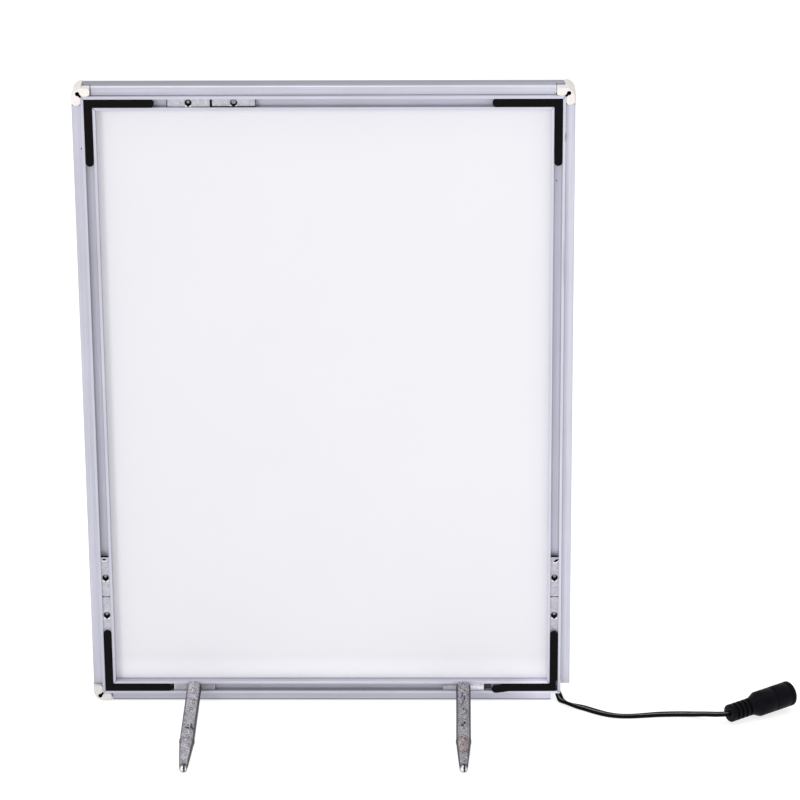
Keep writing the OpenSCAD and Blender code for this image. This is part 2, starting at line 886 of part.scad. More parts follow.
module base_profile_top() { color("silver") stand() base_profile("top"); }
module base_profile_bottom() {
    color("silver")
        stand()
            difference() {
                base_profile("bottom");
                cord_notch();
            }
}
module base_profile_left() { color("silver") stand() base_profile("left"); }
module base_profile_right() {
    color("silver")
        stand()
            difference() {
                base_profile("right");
                cord_notch();
            }
}
module back_panel() { color("white") stand() sheet(sheet_s, back_y, back_panel_t); }
module reflector_sheet() { color("whitesmoke") stand() sheet(guide_s, reflector_y, reflector_t); }
module light_guide() { color("azure", 0.6) stand() sheet(guide_s, guide_y, guide_t); }
module diffuser_sheet() { color("snow") stand() sheet(guide_s, diffuser_y, diffuser_t); }
module cover_sheet() { color("aliceblue", 0.4) stand() sheet(sheet_s, cover_y, cover_t); }

top_first_x = top_plate_in - frame_w / 2 + plate_l / 2;
top_second_x = top_first_x + plate_l + top_plate_gap;

base_profile_top();
base_profile_bottom();
base_profile_left();
base_profile_right();
stand() snap_rail("top");  // snap_rail_top
stand() snap_rail("bottom");  // snap_rail_bottom
stand() snap_rail("left");  // snap_rail_left
stand() snap_rail("right");  // snap_rail_right
stand() rail_springs("top");  // rail_springs_top
stand() rail_springs("bottom");  // rail_springs_bottom
stand() rail_springs("left");  // rail_springs_left
stand() rail_springs("right");  // rail_springs_right
stand() corner_cap("left", "top");  // corner_cap_top_left
stand() corner_cap("right", "top");  // corner_cap_top_right
stand() corner_cap("left", "bottom");  // corner_cap_bottom_left
stand() corner_key("left", "top");  // corner_key_top_left
stand() corner_key("right", "top");  // corner_key_top_right
stand() corner_key("left", "bottom");  // corner_key_bottom_left
stand() corner_key("right", "bottom");  // corner_key_bottom_right
stand() top_nut(top_first_x);  // spare_nut_top_first
stand() top_nut(top_second_x);  // spare_nut_top_second
stand() side_nut("left", 0);  // spare_nut_left_lower
stand() side_nut("left", 1);  // spare_nut_left_upper
stand() side_nut("right", 0);  // spare_nut_right_lower
stand() side_nut("right", 1);  // spare_nut_right_upper
stand() leg_place("left") nut_plate();  // leg_nut_left
stand() leg_place("right") nut_plate();  // leg_nut_right
stand() leg("left");  // leg_left
stand() leg("right");  // leg_right
stand() leg_stud("left");  // leg_stud_left
stand() leg_stud("right");  // leg_stud_right
stand() leg_ball("left");  // leg_ball_left
stand() leg_ball("right");  // leg_ball_right
back_panel();
reflector_sheet();
light_guide();
diffuser_sheet();
cover_sheet();
stand() led_board("left");  // led_board_left
stand() led_board("right");  // led_board_right
stand() led_chips("left");  // led_chips_left
stand() led_chips("right");  // led_chips_right
stand() lead_wires();
stand() link_wires();
power_cord();
socket_housing();
socket_insert();
socket_sleeve();
socket_pin();
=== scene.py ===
"""Looks for a slim edge-lit snap-frame light box on two rod legs, seen from behind."""
import json
import math

import bmesh
import bpy
from mathutils import Matrix, Vector


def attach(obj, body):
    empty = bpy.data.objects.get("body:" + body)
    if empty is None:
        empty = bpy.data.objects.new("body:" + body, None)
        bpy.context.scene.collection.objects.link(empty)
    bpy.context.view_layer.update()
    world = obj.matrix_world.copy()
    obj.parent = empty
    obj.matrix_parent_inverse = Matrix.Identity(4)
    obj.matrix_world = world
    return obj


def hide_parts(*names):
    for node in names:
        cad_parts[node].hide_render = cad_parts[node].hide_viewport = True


MM = 0.001
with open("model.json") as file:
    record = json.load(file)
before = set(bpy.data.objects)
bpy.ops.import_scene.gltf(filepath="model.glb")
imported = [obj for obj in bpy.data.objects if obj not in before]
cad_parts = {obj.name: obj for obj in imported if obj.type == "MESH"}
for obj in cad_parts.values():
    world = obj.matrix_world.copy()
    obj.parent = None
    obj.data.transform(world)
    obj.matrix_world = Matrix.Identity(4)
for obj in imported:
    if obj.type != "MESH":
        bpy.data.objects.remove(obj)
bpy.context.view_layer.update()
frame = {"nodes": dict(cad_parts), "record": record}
nodes = frame["nodes"]
scene = bpy.context.scene

# The leaning box: across, forward from the rear lips, up the box
LEAN = math.radians(3.874)
SHIFT = 40.432
LIFT = 0.051
HALF_W = 124.0
HEIGHT = 335.0
CHANNEL_MID = 8.25
LEG_X = {"left": -71.4, "right": 68.8}
LEG_R = 3.75
LEG_TIP_R = 2.2
LEG_L = 91.5
BALL_R = 2.1
PLATE_HALF = 10.6
CAP_HOLE_AT = 3.28


def place(x, y, v):
    """A point of the leaning box in the row frame, in metres."""
    return Vector((
        x,
        y * math.cos(LEAN) - v * math.sin(LEAN) + SHIFT,
        y * math.sin(LEAN) + v * math.cos(LEAN) + LIFT,
    )) * MM


# Camera at the photograph's place, in the row frame
CAMERA_AT = Vector((66.1, -1873.64, 791.6)) * MM
CAMERA_YAW = math.radians(-0.882)
CAMERA_DOWN = math.radians(18.109)
CAMERA_ROLL = math.radians(-0.3275)
CAMERA_LENS = 178.14
SENSOR = 36.0


def make_camera():
    data = bpy.data.cameras.new("camera")
    data.lens = CAMERA_LENS
    data.sensor_fit = "HORIZONTAL"
    data.sensor_width = SENSOR
    data.clip_start = 0.05
    data.clip_end = 60.0
    forward = Vector((
        math.sin(CAMERA_YAW) * math.cos(CAMERA_DOWN),
        math.cos(CAMERA_YAW) * math.cos(CAMERA_DOWN),
        -math.sin(CAMERA_DOWN),
    ))
    level = Vector((math.cos(CAMERA_YAW), -math.sin(CAMERA_YAW), 0.0))
    upright = level.cross(forward)
    right = level * math.cos(CAMERA_ROLL) + upright * math.sin(CAMERA_ROLL)
    up = -level * math.sin(CAMERA_ROLL) + upright * math.cos(CAMERA_ROLL)
    turn = Matrix((right, up, -forward)).transposed().to_4x4()
    camera = bpy.data.objects.new("camera", data)
    camera.matrix_world = Matrix.Translation(CAMERA_AT) @ turn
    scene.collection.objects.link(camera)
    scene.camera = camera


make_camera()


class Nodes:
    """A new material with short calls to add and join its nodes."""

    def __init__(self, name, **sockets):
        self.material = bpy.data.materials.new(name)
        self.material.use_nodes = True
        self.tree = self.material.node_tree
        self.shader = self.tree.nodes["Principled BSDF"]
        for key, value in sockets.items():
            self.shader.inputs[key.replace("_", " ")].default_value = value

    def add(self, kind, **values):
        node = self.tree.nodes.new("ShaderNode" + kind)
        for key, value in values.items():
            if hasattr(node, key):
                setattr(node, key, value)
            else:
                node.inputs[key.replace("_", " ")].default_value = value
        return node

    def join(self, out, into):
        self.tree.links.new(out, into)

    def feed(self, value, socket):
        if isinstance(value, bpy.types.NodeSocket):
            self.join(value, socket)
        else:
            socket.default_value = value

    def local(self, scale=(1, 1, 1)):
        """Object coordinates in the leaning box's own frame, in millimetres."""
        coord = self.add("TexCoord")
        mapping = self.add("Mapping")
        sine, cosine = math.sin(LEAN), math.cos(LEAN)
        mapping.inputs["Scale"].default_value = (1000, 1000, 1000)
        mapping.inputs["Rotation"].default_value = (-LEAN, 0, 0)
        back = -SHIFT * cosine - LIFT * sine
        down = SHIFT * sine - LIFT * cosine
        mapping.inputs["Location"].default_value = (0, back, down)
        self.join(coord.outputs["Object"], mapping.inputs["Vector"])
        if scale == (1, 1, 1):
            return mapping.outputs["Vector"]
        stretch = self.add("Mapping")
        stretch.inputs["Scale"].default_value = scale
        self.join(mapping.outputs["Vector"], stretch.inputs["Vector"])
        return stretch.outputs["Vector"]

    def axes(self):
        split = self.add("SeparateXYZ")
        self.join(self.local(), split.inputs["Vector"])
        return split.outputs["X"], split.outputs["Y"], split.outputs["Z"]

    def math(self, kind, a, b=0.0):
        node = self.add("Math", operation=kind)
        self.feed(a, node.inputs[0])
        self.feed(b, node.inputs[1])
        return node.outputs[0]

    def squares(self, a, b):
        return self.math("ADD", self.math("MULTIPLY", a, a), self.math("MULTIPLY", b, b))

    def noise(self, where, scale, detail=4.0, roughness=0.5):
        node = self.add("TexNoise", Scale=scale, Detail=detail, Roughness=roughness)
        self.join(where, node.inputs["Vector"])
        return node.outputs["Fac"]

    def span(self, value, low, high, to_low, to_high):
        node = self.add("MapRange", From_Min=low, From_Max=high, To_Min=to_low, To_Max=to_high)
        self.join(value, node.inputs["Value"])
        return node.outputs["Result"]

    def ramp(self, value, *stops):
        node = self.add("ValToRGB")
        ramp = node.color_ramp
        while len(ramp.elements) < len(stops):
            ramp.elements.new(0.5)
        for element, (at, colour) in zip(ramp.elements, stops):
            element.position = at
            element.color = (*colour, 1.0)
        self.join(value, node.inputs["Fac"])
        return node.outputs["Color"]

    def mix(self, factor, a, b, blend="MIX"):
        node = self.tree.nodes.new("ShaderNodeMix")
        node.data_type = "RGBA"
        node.blend_type = blend
        for socket, value in ((node.inputs[0], factor), (node.inputs[6], a), (node.inputs[7], b)):
            if isinstance(value, bpy.types.NodeSocket):
                self.join(value, socket)
            elif isinstance(value, (int, float)):
                socket.default_value = value
            else:
                socket.default_value = (*value, 1.0)
        return node.outputs[2]

    def times(self, colour, *factors):
        """A colour darkened or lightened by each factor in turn."""
        for factor in factors:
            colour = self.mix(1.0, colour, factor, "MULTIPLY")
        return colour

    def spot(self, a, b, at, size, depth):
        """A soft mark in two coordinates: its factor is depth in the middle and one outside."""
        across = self.math("DIVIDE", self.math("SUBTRACT", a, at[0]), size[0])
        along = self.math("DIVIDE", self.math("SUBTRACT", b, at[1]), size[1])
        return self.span(self.squares(across, along), 0.4, 1.2, depth, 1.0)

    def bump(self, *heights):
        """Each height is (socket, distance in millimetres, strength)."""
        last = None
        for value, distance, strength in heights:
            node = self.add("Bump", Strength=strength, Distance=distance * MM)
            self.join(value, node.inputs["Height"])
            if last:
                self.join(last, node.inputs["Normal"])
            last = node.outputs["Normal"]
        self.join(last, self.shader.inputs["Normal"])

    def colour(self, socket):
        self.join(socket, self.shader.inputs["Base Color"])

    def rough(self, socket):
        self.join(socket, self.shader.inputs["Roughness"])


def grey(value):
    return (value, value, value)


def tinted(colour, factor):
    return tuple(factor * c for c in colour)


ALUMINIUM = (0.597, 0.596, 0.682)
# Painted highlight and shade bands across the top face: share of the way from rear to front, and tone there
LIGHT_BAND_SPAN = 14.0
TOP_FACE_LIGHT_BANDS = ((0.16, 1.5), (0.22, 1.25), (0.36, 0.9), (0.5, 0.98), (0.66, 0.78), (0.8, 1.05), (0.93, 1.5))


def aluminium(name, edge, marks=()):
    """Satin anodised extrusion with faint lines along one edge of the frame, its colour also carrying
    painted shade and painted highlights.
    """
    m = Nodes(name, Metallic=0.4, Specular_IOR_Level=0.3)
    x, y, v = m.axes()
    level = edge in ("top", "bottom")
    lines = m.noise(m.local((0.012, 1, 1) if level else (1, 1, 0.012)), 1.2, 3.0)
    cloud = m.noise(m.local(), 0.04, 3.0)
    grain = m.noise(m.local(), 5.0, 2.0)
    tone = m.ramp(cloud, (0.3, tinted(ALUMINIUM, 0.975)), (0.7, tinted(ALUMINIUM, 1.025)))
    outside = m.math("SUBTRACT", HALF_W, m.math("ABSOLUTE", x))
    in_from = {"top": m.math("SUBTRACT", HEIGHT, v), "bottom": v}.get(edge, outside)
    aside = m.math("ABSOLUTE", m.math("SUBTRACT", in_from, CHANNEL_MID))
    floor_of_channel = m.span(y, 2.3, 2.7, 0.0, 1.0)
    factors = [
        # Painted shade on the channel floor along its sides, under the lips
        m.mix(floor_of_channel, grey(1.0), m.span(aside, 1.3, 2.1, 1.0, 0.74)),
        m.span(lines, 0.3, 0.7, 0.91, 1.08),
        # Painted light: a little paler from left to right
        m.span(x, -HALF_W, HALF_W, 0.935, 1.07),
        m.span(m.noise(m.local(), 0.9, 2.0), 0.74, 0.79, 1.0, 0.8),
        # Painted shade: darker towards the foot of the box, strongly over the lowest 15 mm and faintly up to
        # 70 mm
        m.span(v, 2.0, 15.0, 0.82, 1.0),
        m.span(v, 5.0, 70.0, 0.95, 1.0),
    ]
    if edge == "bottom":
        # Painted shade: a dark line along the bottom rail's lower edge, standing in for its contact shadow
        factors.append(m.span(v, 0.45, 0.85, 0.12, 1.0))
        # Painted highlight towards the right end of the bottom rail
        factors.append(m.span(x, 92.0, 108.0, 1.0, 1.3))
        # Painted light: the bottom lips' rear faces a little paler
        factors.append(m.span(y, 0.3, 0.6, 1.12, 1.0))
    elif edge == "top":
        # Painted highlights along the top face's edges and painted shade across its middle
        light_bands = m.ramp(m.math("DIVIDE", y, LIGHT_BAND_SPAN), *((at, grey(shade / 2)) for at, shade in TOP_FACE_LIGHT_BANDS))
        face = m.span(v, HEIGHT - 0.5, HEIGHT - 0.2, 0.0, 1.0)
        factors.append(m.mix(face, grey(1.0), m.times(light_bands, grey(2.0))))
    else:
        # Painted shade along the side rails' outer edges
        factors.append(m.span(outside, 0.1, 0.6, 0.86, 1.0))
    factors += [m.spot(x, v, at, size, depth) for at, size, depth in marks]
    m.colour(m.times(tone, *factors))
    m.rough(m.span(lines, 0.3, 0.7, 0.5, 0.62))
    m.bump((lines, 0.02, 0.15), (grain, 0.01, 0.1))
    return m.material


def plain(name, tone, shade, roughness, scale=0.8, depth=0.02, strength=0.15, **sockets):
    """A smooth sheet or moulding with a faint mottle."""
    m = Nodes(name, **sockets)
    where = m.local()
    cloud = m.noise(where, scale, 4.0)
    m.colour(m.ramp(cloud, (0.3, shade), (0.7, tone)))
    m.rough(m.span(cloud, 0.3, 0.7, roughness - 0.05, roughness + 0.05))
    m.bump((m.noise(where, scale * 8, 3.0), depth, strength))
    return m.material


def dress(names, material, bevel=0.0):
    for name in names:
        obj = nodes[name]
        obj.data.materials.clear()
        obj.data.materials.append(material)
        if bevel:
            weld = obj.modifiers.new("weld", "WELD")
            weld.merge_threshold = 0.000002
            flat = obj.modifiers.new("flat", "DECIMATE")
            flat.decimate_type = "DISSOLVE"
            flat.angle_limit = math.radians(0.5)
            edge = obj.modifiers.new("edge", "BEVEL")
            edge.width = bevel * MM
            edge.segments = 2
            edge.limit_method = "ANGLE"
            edge.angle_limit = math.radians(35.0)
            edge.harden_normals = True


def named(*starts):
    return [n for n in sorted(nodes) if n.startswith(starts)]


# Marks are (across, up), (half width, half height) and what is left of the tone
MARKS = {
    "left": [((-119.8, 302.9), (0.5, 0.7), 0.45)],
    "right": [((119.2, 309.0), (0.35, 2.4), 0.5), ((115.0, 285.4), (0.5, 0.5), 0.4),
              ((118.65, 242.0), (0.3, 13.0), 0.75)],
}
for edge in ("top", "bottom", "left", "right"):
    skin = aluminium("aluminium_" + edge, edge, MARKS.get(edge, ()))
    dress(["base_profile_" + edge, "snap_rail_" + edge], skin, 0.12)


def white_panel():
    """White back sheet, with painted light making it a little paler to the right and along its foot."""
    m = Nodes("white_panel", Roughness=0.5, Specular_IOR_Level=0.2)
    x, y, v = m.axes()
    where = m.local()
    tone = m.ramp(m.noise(where, 0.02), (0.3, (0.79, 0.782, 0.822)), (0.7, (0.798, 0.79, 0.828)))
    # Painted light: paler to the right and along the foot
    m.colour(m.times(tone, m.span(x, -HALF_W, HALF_W, 0.97, 1.035), m.span(v, 12.0, 24.0, 1.2, 1.0)))
    m.bump((m.noise(where, 0.16, 3.0), 0.01, 0.05))
    return m.material


dress(["back_panel"], white_panel())
key_black = plain("key_black", (0.006, 0.005, 0.006), (0.004, 0.0035, 0.004), 0.6, 2.0, 0.03, 0.4,
                  Specular_IOR_Level=0.05)
dress(named("corner_key"), key_black)


def cap_moulding():
    """Off-white moulding with painted shade inside its hole and slot, and painted shade darkening the lower
    caps.
    """
    m = Nodes("cap_ivory", Roughness=0.55, Specular_IOR_Level=0.3)
    x, y, v = m.axes()
    where = m.local()
    cloud = m.noise(where, 1.5, 4.0)
    tone = m.ramp(cloud, (0.3, (0.77, 0.735, 0.715)), (0.7, (0.91, 0.872, 0.85)))
    inward = m.math("SUBTRACT", HALF_W, m.math("ABSOLUTE", x))
    upward = m.math("MINIMUM", v, m.math("SUBTRACT", HEIGHT, v))
    across = m.math("ABSOLUTE", m.math("SUBTRACT", inward, upward))
    off_x = m.math("SUBTRACT", inward, CAP_HOLE_AT)
    off_v = m.math("SUBTRACT", upward, CAP_HOLE_AT)
    hole = m.span(m.squares(off_x, off_v), 1.3, 1.9, 1.0, 0.0)
    slot = m.math("MULTIPLY", m.span(across, 0.9, 1.1, 1.0, 0.0), m.span(off_x, -0.1, 0.0, 0.0, 1.0))
    depth = m.math("MULTIPLY", m.span(y, 0.25, 0.5, 0.0, 1.0), m.span(y, 7.4, 7.6, 1.0, 0.0))
    # Painted shade: the hole and slot dark inside, and the lower caps darker than the upper ones
    inside = m.math("MULTIPLY", m.math("MAXIMUM", hole, slot), depth)
    m.colour(m.mix(inside, m.times(tone, m.span(v, 20.0, 320.0, 0.8, 1.0)), (0.012, 0.007, 0.005)))
    m.bump((m.noise(where, 12.0, 3.0), 0.05, 0.4))
    return m.material


dress(named("corner_cap"), cap_moulding())


def zinc_plate(name, *light_and_tone_steps):
    """Dull zinc with faint clouds. Each step of painted light and tone is (axis, from, to, tone before, tone
    after).
    """
    m = Nodes(name, Metallic=0.5, Specular_IOR_Level=0.3)
    x, y, v = m.axes()
    where = m.local()
    cloud = m.noise(where, 0.5, 4.0)
    fine = m.noise(m.local((0.35, 1, 1)), 2.4, 3.0)
    tone = m.ramp(cloud, (0.3, (0.46, 0.455, 0.51)), (0.7, (0.58, 0.573, 0.635)))
    factors = [m.span(fine, 0.35, 0.65, 0.85, 1.12)]
    factors += [m.span({"x": x, "v": v}[axis], *limits) for axis, *limits in light_and_tone_steps]
    m.colour(m.times(tone, *factors))
    m.rough(m.span(fine, 0.3, 0.7, 0.42, 0.55))
    m.bump((fine, 0.02, 0.2))
    return m.material


zinc = zinc_plate("zinc_plate")
dress(named("spare_nut"), zinc)
left_end, right_end = LEG_X["left"] - PLATE_HALF, LEG_X["left"] + PLATE_HALF
# Painted highlights along the left plate's ends, and the plate darker right of its leg
dress(["leg_nut_left"], zinc_plate(
    "zinc_left",
    ("x", left_end + 0.3, left_end + 0.5, 1.5, 1.0),
    ("x", right_end - 0.5, right_end - 0.3, 1.0, 1.4),
    ("x", LEG_X["left"], LEG_X["left"] + 2, 0.84, 0.55),
))
# Painted highlight on the right plate: paler right of its leg and along its lower strip
dress(["leg_nut_right"], zinc_plate(
    "zinc_right", ("x", LEG_X["right"], LEG_X["right"] + 3, 0.8, 1.75), ("v", 8.3, 8.9, 1.0, 0.72),
))


def worn_and_shaded_leg(side, level, wear, bands, specks, brown=None):
    """Dull plating worn through in spots, with painted shade darkening both sides of the rod.

    Bands are (along, half width, depth), specks (across, along, size, depth), brown (along, half width).
    """
    m = Nodes("worn_leg_" + side, Metallic=0.5, Specular_IOR_Level=0.3)
    x, y, v = m.axes()
    where = m.local()
    cloud = m.noise(m.local((1, 0.45, 1)), 0.35, 5.0, 0.6)
    grit = m.noise(where, 1.3, 5.0, 0.8)
    pits = m.noise(where, 0.7, 3.0, 0.6)
    tone = m.ramp(
        cloud, *((at, tinted(base, level)) for at, base in (
            (0.3, (0.29, 0.278, 0.305)), (0.5, (0.42, 0.403, 0.44)), (0.72, (0.53, 0.51, 0.555))
        ))
    )
    radius = m.span(y, -LEG_L + 1.6, -64.0, LEG_TIP_R, LEG_R)
    off = m.math("DIVIDE", m.math("ABSOLUTE", m.math("SUBTRACT", x, LEG_X[side])), radius)
    factors = [
        m.span(grit, 0.40, 0.60, 1 - wear, 1 + wear),
        m.span(pits, 0.36, 0.42, 0.3, 1.0),
        # Painted shade: darker towards both sides of the rod
        m.span(off, 0.70, 0.86, 1.0, 0.12),
    ]
    if brown:
        near = m.math("ABSOLUTE", m.math("SUBTRACT", y, brown[0]))
        stain = m.span(near, brown[1] * 0.6, brown[1], 1.0, 0.0)
        factors.append(m.mix(stain, grey(1.0), (1.0, 0.9, 0.8)))
    for at, half, depth in bands:
        near = m.math("ABSOLUTE", m.math("SUBTRACT", y, at))
        factors.append(m.span(near, half * 0.5, half, depth, 1.0))
    for across, at, size, depth in specks:
        factors.append(m.spot(x, y, (LEG_X[side] + across, at), size, depth))
    m.colour(m.times(tone, *factors))
    m.rough(m.span(grit, 0.3, 0.7, 0.42, 0.65))
    m.bump((cloud, 0.15, 0.35), (grit, 0.06, 0.5))
    return m.material


dress(["leg_left"], worn_and_shaded_leg("left", 1.08, 0.75, [(-65.0, 1.2, 0.75)], [
    (-0.2, -54.0, (1.2, 1.1), 0.1), (1.6, -50.5, (0.5, 2.2), 0.12), (2.2, -53.0, (1.3, 1.5), 0.06),
    (1.2, -22.0, (0.6, 1.6), 0.6),
]))
dress(["leg_right"], worn_and_shaded_leg("right", 0.8, 0.98, [(-65.0, 1.2, 0.75)], [
    (-0.6, -16.0, (0.5, 3.5), 0.2), (0.5, -20.0, (0.5, 3.0), 0.2), (-0.2, -25.0, (0.4, 3.0), 0.25),
    (-0.6, -51.0, (0.9, 1.8), 0.1), (0.5, -48.5, (0.6, 2.0), 0.12),
], (-71.0, 10.0)))


def chrome_ball(side):
    """Polished ball with a painted dark reflection round its rim and a painted dark streak down its face."""
    m = Nodes("ball_chrome_" + side, Metallic=1.0, Roughness=0.15)
    x, y, v = m.axes()
    out_x = m.math("DIVIDE", m.math("SUBTRACT", x, LEG_X[side]), BALL_R)
    out_y = m.math("DIVIDE", m.math("ADD", y, LEG_L), BALL_R)
    out_v = m.math("DIVIDE", m.math("SUBTRACT", v, CHANNEL_MID), BALL_R)
    facing = m.math("SUBTRACT", m.math("MULTIPLY", out_v, 0.375), m.math("MULTIPLY", out_y, 0.927))
    streak = m.math("ABSOLUTE", m.math("SUBTRACT", out_x, 0.2))
    # Painted reflection: dark round the rim and in a streak down the face
    m.colour(m.times(
        m.ramp(m.noise(m.local(), 1.0), (0.3, grey(0.78)), (0.7, grey(0.86))),
        m.span(facing, 0.4, 0.8, 0.04, 1.0), m.span(streak, 0.16, 0.3, 0.05, 1.0),
    ))
    return m.material


for side in LEG_X:
    dress(["leg_ball_" + side], chrome_ball(side))
steel = plain("stud_steel", (0.5, 0.5, 0.5), (0.35, 0.35, 0.35), 0.4, 1.0, 0.02, 0.2, Metallic=1.0)
dress(named("leg_stud", "rail_springs", "socket_sleeve"), steel)
brass = plain("pin_brass", (0.7, 0.55, 0.27), (0.55, 0.42, 0.2), 0.3, 1.0, 0.01, 0.1, Metallic=1.0)
dress(["socket_pin"], brass)
housing = plain("housing_black", (0.006, 0.006, 0.009), (0.003, 0.003, 0.0045), 0.42, 0.7, 0.02, 0.25,
                Specular_IOR_Level=0.05)
dress(["socket_housing", "socket_insert"], housing, 0.2)
board = plain("board_white", (0.85, 0.85, 0.82), (0.8, 0.8, 0.77), 0.35)
dress(named("led_board"), board)
chips = plain("chip_yellow", (0.85, 0.72, 0.2), (0.75, 0.6, 0.15), 0.4)
dress(named("led_chips"), chips)
wires = plain("wire_red", (0.35, 0.02, 0.02), (0.28, 0.015, 0.015), 0.35)
dress(["lead_wires", "link_wires"], wires)
film = plain("white_film", (0.9, 0.9, 0.9), (0.87, 0.87, 0.87), 0.6)
dress(["reflector_sheet", "diffuser_sheet"], film)
clear = plain("clear_acrylic", (0.93, 0.96, 0.96), (0.9, 0.94, 0.94), 0.1, Alpha=0.35)
dress(["light_guide"], clear)
cover = plain("cover_clear", (0.93, 0.95, 0.96), (0.91, 0.93, 0.94), 0.25, Alpha=0.3)
dress(["cover_sheet"], cover)


def finish_piece(mesh, name, material, body, slot, *replaced):
    bmesh.ops.recalc_face_normals(mesh, faces=mesh.faces)
    data = bpy.data.meshes.new(name)
    mesh.to_mesh(data)
    mesh.free()
    obj = bpy.data.objects.new(name, data)
    obj.data.materials.append(material)
    scene.collection.objects.link(obj)
    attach(obj, body)
    if replaced:
        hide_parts(*replaced)
    return obj


def slab(mesh, outline, y0, y1, where=place):
    """A flat plate of the leaning box: its outline is (across, up), from one depth to another."""
    low = [mesh.verts.new(where(x, y0, v)) for x, v in outline]
    high = [mesh.verts.new(where(x, y1, v)) for x, v in outline]
    mesh.faces.new(low)
    mesh.faces.new(list(reversed(high)))
    for i in range(len(outline)):
        j = (i + 1) % len(outline)
        mesh.faces.new((low[i], high[i], high[j], low[j]))


def layered(name, body, slot, layers, where=place):
    """One piece of several flat plates, each (material, outline, near, far)."""
    mesh = bmesh.new()
    materials = []
    for material, outline, near, far in layers:
        if material not in materials:
            materials.append(material)
        known = set(mesh.faces)
        slab(mesh, outline, near, far, where)
        for face in mesh.faces:
            if face not in known:
                face.material_index = materials.index(material)
    obj = finish_piece(mesh, name, materials[0], body, slot)
    for material in materials[1:]:
        obj.data.materials.append(material)


def oblong(x0, x1, v0, v1):
    return [(x0, v0), (x1, v0), (x1, v1), (x0, v1)]


def arc(centre, radius, start, end, steps=10):
    return [
        (centre[0] + radius * math.cos(math.radians(start + (end - start) * k / steps)),
         centre[1] + radius * math.sin(math.radians(start + (end - start) * k / steps)))
        for k in range(steps + 1)
    ]


def splayed_key():
    """The lower right key has crept out: its level arm droops and its corner has slipped inward."""
    low, high = 6.25, 10.25
    right, left = HALF_W - low, HALF_W - high
    slip = 1.0
    end = 40.75
    bulb = (85.75, 7.45)
    bulb_r = 2.3
    top_layer = [(right - slip, low), (right - slip, low + 5.3), (right, low + 6.2)]
    top_layer += arc((HALF_W - CHANNEL_MID, end - 2), 2, 0, 180)
    top_layer += [(left, high + 0.25), (92.0, high - 0.1), (88.6, high - 0.3)]
    top_layer += arc(bulb, bulb_r, 75, 275, 14)
    top_layer += [(89.4, 5.6), (92.4, 6.1)]
    stem_w = 1.1
    upright, level = HALF_W - CHANNEL_MID, CHANNEL_MID
    stem_top = end - 4
    stem_left = HALF_W - end + 5
    stem = [
        (upright + stem_w, level - stem_w), (upright + stem_w, stem_top), (upright - stem_w, stem_top),
        (upright - stem_w, level + stem_w), (stem_left, level + stem_w), (stem_left, level - stem_w),
    ]
    mesh = bmesh.new()
    slab(mesh, top_layer, -0.24, -0.03)
    slab(mesh, stem, -0.05, 2.9)
    return finish_piece(mesh, "splayed_key", key_black, "frame", "key_plastic", "corner_key_bottom_right")


splayed_key()

# Painted shade and light on small slabs: dark for the shaded gaps at the nut plates' ends, where the plates
# sit askew in their channel, and inside the tapped holes; white for painted glints; grey for painted lit and
# shaded patches
gap_dark = plain("gap_dark", (0.006, 0.006, 0.007), (0.004, 0.004, 0.005), 0.7, 2.0, Specular_IOR_Level=0.05)
glint_steel = plain("glint_steel", (0.95, 0.95, 0.96), (0.9, 0.9, 0.92), 0.4, Specular_IOR_Level=0.3)
hole_lit = plain("hole_lit", (0.34, 0.34, 0.37), (0.2, 0.2, 0.22), 0.6, 2.0, Specular_IOR_Level=0.2)
hole_grey = plain("hole_grey", (0.1, 0.1, 0.11), (0.05, 0.05, 0.055), 0.6, 2.0, Specular_IOR_Level=0.1)

# Where the side plates end and meet, and the mouths of the channels, up the box
PLATE_TOP = 80.95
PLATE_SEAM = 59.7
TOP_MOUTH = (324.75, 328.7)
FOOT_MOUTH = (6.4, 10.1)
MOUTH_HALF = 2.0
# The plates in the top channel, across
TOP_FIRST = (-77.0, -55.9)
TOP_SECOND = (-54.7, -33.5)
# Depths from the rear lips of the painted-shade slabs: in a gap before a plate, on a plate's face and on the
# channel floor
GAP_DEPTH = (0.75, 1.05)
FACE_SHADE_DEPTH = (1.07, 1.09)
FLOOR_SHADE_DEPTH = (2.82, 2.88)


def plate_ends(side, sign):
    """The upper plate's tip with its half hole, drawn as painted shade over a painted glint, and painted
    shade in the gap past it; the seam below it.
    """
    mid = sign * (HALF_W - CHANNEL_MID)
    tip = PLATE_TOP + 1.2
    shift, drop, slant, reach = (-0.4, 0.3, 0.0, 1.0) if side == "left" else (0.8, 0.9, 0.45, 1.3)

    def half_hole(size, down):
        ring = arc((0, 0), reach * size, 0, 345, 23)
        return [(mid + shift + a * 0.95, PLATE_TOP - drop - down + slant * a + b * 0.5) for a, b in ring]

    layered("plate_end_" + side, f"nut_{side}_upper", "plate_steel", [
        (zinc, oblong(mid - MOUTH_HALF, mid + MOUTH_HALF, PLATE_TOP, tip), 1.1, 1.9),
        (gap_dark, oblong(mid - MOUTH_HALF, mid + MOUTH_HALF, tip, tip + 0.8), *GAP_DEPTH),
        (glint_steel, half_hole(1.2, 0.4), 1.06, 1.09),
        (gap_dark, half_hole(1.0, 0.0), 1.02, 1.05),
    ])
    layered("seam_" + side, f"nut_{side}_lower", "plate_steel", [
        (gap_dark, oblong(mid + x0, mid + x1, PLATE_SEAM - half, PLATE_SEAM + half), 1.03, 1.09)
        for x0, x1, half in ((-2, -1.2, 0.28), (-1.2, 1.2, 0.14), (1.2, 2, 0.28))
    ])


plate_ends("left", -1)
plate_ends("right", 1)
